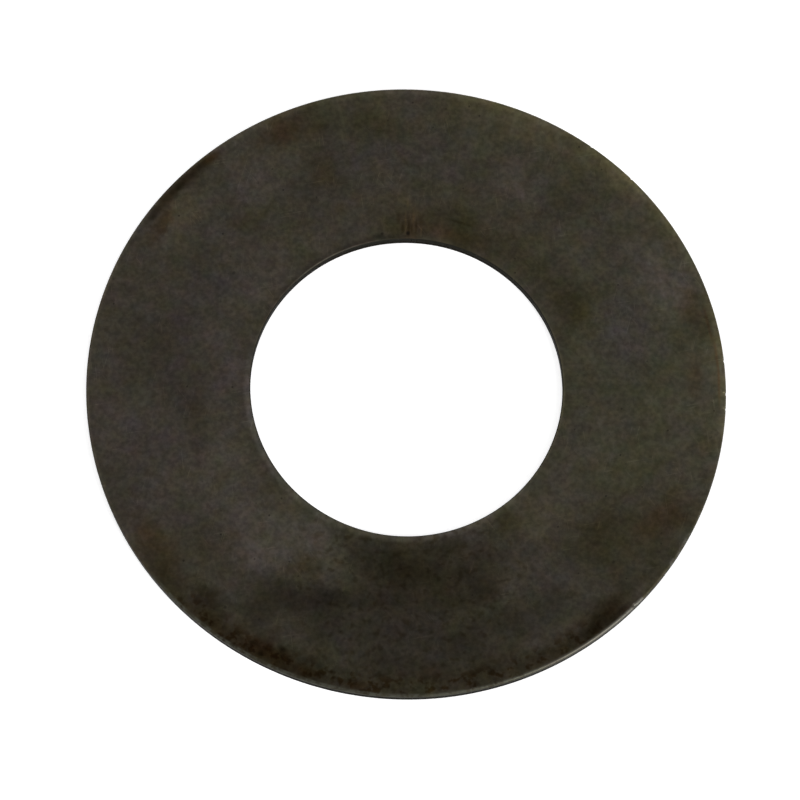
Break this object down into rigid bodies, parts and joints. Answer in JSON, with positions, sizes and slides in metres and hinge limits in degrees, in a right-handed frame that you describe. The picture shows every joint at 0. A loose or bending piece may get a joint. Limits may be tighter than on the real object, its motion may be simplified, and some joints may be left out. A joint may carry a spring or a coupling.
{
  "type": "flat washer",
  "caption": "Thin flat ring washer of dark tempered steel, with a wide round bore and die-rolled upper edges.",
  "frame": {"origin": "centre of the bore, in the plane of the underside", "axes": "+Z along the bore axis, from the underside towards the face with the die-rolled edges; X and Y in the plane of the underside"},
  "size_m": [0.062, 0.062, 0.0012],
  "materials": {
    "tempered_steel": "satin"
  },
  "bodies": {
    "root": {"washer": "tempered_steel"}
  },
  "joints": []
}
